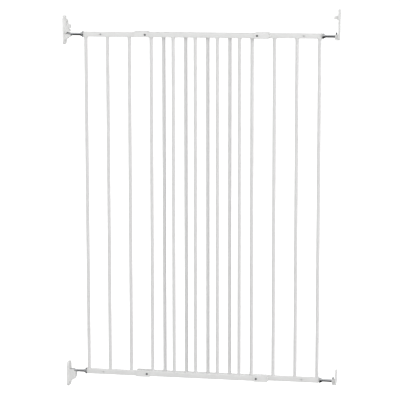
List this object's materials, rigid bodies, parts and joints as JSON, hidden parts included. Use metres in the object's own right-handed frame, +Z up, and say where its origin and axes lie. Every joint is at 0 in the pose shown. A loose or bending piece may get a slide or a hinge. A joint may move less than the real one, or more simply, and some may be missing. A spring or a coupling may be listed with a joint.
{
  "type": "safety baby gate",
  "caption": "Extra-tall metal safety gate: two overlapping white barred panels on adjustable chromed spindles, hinged on wall plates one side and latched on the other",
  "frame": {"origin": "midway between the two walls, on the plane between the two panels, at the height of the lowest point of the wall fittings", "axes": "+X along the gate from the latch wall to the hinge wall, +Y away from the viewer, +Z up"},
  "size_m": [0.827, 0.053, 1.1606],
  "materials": {
    "powder_coat_white": "semi-gloss powder coat",
    "moulded_nylon_white": "moulded, fine grain",
    "chrome_plated_steel": "bright plated",
    "zinc_steel": "zinc plated",
    "screw_black": "black oxide",
    "label_film": "printed film"
  },
  "bodies": {
    "hinge_wall": {"upper_hinge_plate": "moulded_nylon_white", "lower_hinge_plate": "moulded_nylon_white", "upper_pintle": "zinc_steel", "lower_pintle": "zinc_steel"},
    "hinge_washers": {"upper_hinge_washer": "moulded_nylon_white", "lower_hinge_washer": "moulded_nylon_white"},
    "hinge_spindles": {"upper_hinge_spindle": "chrome_plated_steel", "lower_hinge_spindle": "chrome_plated_steel", "upper_hinge_eye": "moulded_nylon_white", "lower_hinge_eye": "moulded_nylon_white"},
    "rear_panel": {"rear_bar_1": "powder_coat_white", "rear_bar_2": "powder_coat_white", "rear_bar_3": "powder_coat_white", "rear_bar_4": "powder_coat_white", "rear_bar_5": "powder_coat_white", "rear_bar_6": "powder_coat_white", "rear_bar_7": "powder_coat_white", "rear_bar_8": "powder_coat_white", "rear_bottom_end_plug": "moulded_nylon_white", "rear_bottom_guide_clip": "moulded_nylon_white", "rear_bottom_rail": "powder_coat_white", "rear_bottom_rail_cap": "moulded_nylon_white", "rear_clip_screws": "screw_black", "rear_rail_rivets": "zinc_steel", "rear_top_end_plug": "moulded_nylon_white", "rear_top_guide_clip": "moulded_nylon_white", "rear_top_rail": "powder_coat_white", "rear_top_rail_cap": "moulded_nylon_white"},
    "front_panel": {"front_bar_1": "powder_coat_white", "front_bar_2": "powder_coat_white", "front_bar_3": "powder_coat_white", "front_bar_4": "powder_coat_white", "front_bar_5": "powder_coat_white", "front_bar_6": "powder_coat_white", "front_bar_7": "powder_coat_white", "front_bar_8": "powder_coat_white", "front_bottom_end_plug": "moulded_nylon_white", "front_bottom_guide_clip": "moulded_nylon_white", "front_bottom_rail": "powder_coat_white", "front_bottom_rail_cap": "moulded_nylon_white", "front_clip_screws": "screw_black", "front_rail_rivets": "zinc_steel", "front_top_end_plug": "moulded_nylon_white", "front_top_guide_clip": "moulded_nylon_white", "front_top_rail": "powder_coat_white", "front_top_rail_cap": "moulded_nylon_white", "blank_label": "label_film"},
    "upper_hinge_nut": {"upper_hinge_nut": "chrome_plated_steel"},
    "lower_hinge_nut": {"lower_hinge_nut": "chrome_plated_steel"},
    "upper_latch_spindle": {"upper_latch_spindle": "chrome_plated_steel"},
    "lower_latch_spindle": {"lower_latch_spindle": "chrome_plated_steel"},
    "upper_latch_nut": {"upper_latch_nut": "chrome_plated_steel"},
    "lower_latch_nut": {"lower_latch_nut": "chrome_plated_steel"},
    "latch_wall": {"upper_latch_plate": "moulded_nylon_white", "lower_seat_plate": "moulded_nylon_white"},
    "latch_slider": {"latch_slider": "moulded_nylon_white", "latch_spring": "zinc_steel"}
  },
  "joints": [
    {"name": "gate_swing", "type": "hinge", "parent": "hinge_wall", "child": "hinge_washers", "pos_m": [0.4036, 0.0065, 0.0486], "axis": [0, 0, 1], "range_deg": [-85, 85]},
    {"name": "gate_lift", "type": "slide", "parent": "hinge_washers", "child": "hinge_spindles", "axis": [0, 0, 1], "range_m": [0, 0.012]},
    {"name": "hinge_adjust", "type": "slide", "parent": "hinge_spindles", "child": "rear_panel", "axis": [1, 0, 0], "range_m": [0, 0.015]},
    {"name": "panel_extension", "type": "slide", "parent": "rear_panel", "child": "front_panel", "axis": [-1, 0, 0], "range_m": [-0.14, 0.238]},
    {"name": "opening_width", "type": "slide", "parent": "hinge_wall", "child": "latch_wall", "axis": [-1, 0, 0], "range_m": [-0.14, 0.238]},
    {"name": "latch_slide", "type": "slide", "parent": "latch_wall", "child": "latch_slider", "axis": [0, 0, 1], "range_m": [0, 0.012], "deforming": ["latch_spring"]},
    {"name": "upper_hinge_nut_turn", "type": "hinge", "parent": "rear_panel", "child": "upper_hinge_nut", "pos_m": [0.366, 0.0065, 1.0826], "axis": [1, 0, 0], "range_deg": [0, 3601]},
    {"name": "upper_spindle_travel", "type": "slide", "parent": "front_panel", "child": "upper_latch_spindle", "axis": [1, 0, 0], "range_m": [0, 0.015]},
    {"name": "upper_latch_nut_turn", "type": "hinge", "parent": "front_panel", "child": "upper_latch_nut", "pos_m": [-0.357, -0.0065, 1.0826], "axis": [-1, 0, 0], "range_deg": [0, 3601]},
    {"name": "lower_hinge_nut_turn", "type": "hinge", "parent": "rear_panel", "child": "lower_hinge_nut", "pos_m": [0.366, 0.0065, 0.0486], "axis": [1, 0, 0], "range_deg": [0, 3601]},
    {"name": "lower_spindle_travel", "type": "slide", "parent": "front_panel", "child": "lower_latch_spindle", "axis": [1, 0, 0], "range_m": [0, 0.015]},
    {"name": "lower_latch_nut_turn", "type": "hinge", "parent": "front_panel", "child": "lower_latch_nut", "pos_m": [-0.357, -0.0065, 0.0486], "axis": [-1, 0, 0], "range_deg": [0, 3601]}
  ],
  "couplings": [
    {"joint": "opening_width", "follows": "panel_extension", "ratio": 1},
    {"joint": "latch_slide", "follows": "gate_lift", "ratio": 1},
    {"joint": "upper_hinge_nut_turn", "follows": "hinge_adjust", "rad_per_m": 4188.8},
    {"joint": "upper_latch_nut_turn", "follows": "upper_spindle_travel", "rad_per_m": 4188.8},
    {"joint": "lower_hinge_nut_turn", "follows": "hinge_adjust", "rad_per_m": 4188.8},
    {"joint": "lower_latch_nut_turn", "follows": "lower_spindle_travel", "rad_per_m": 4188.8}
  ]
}
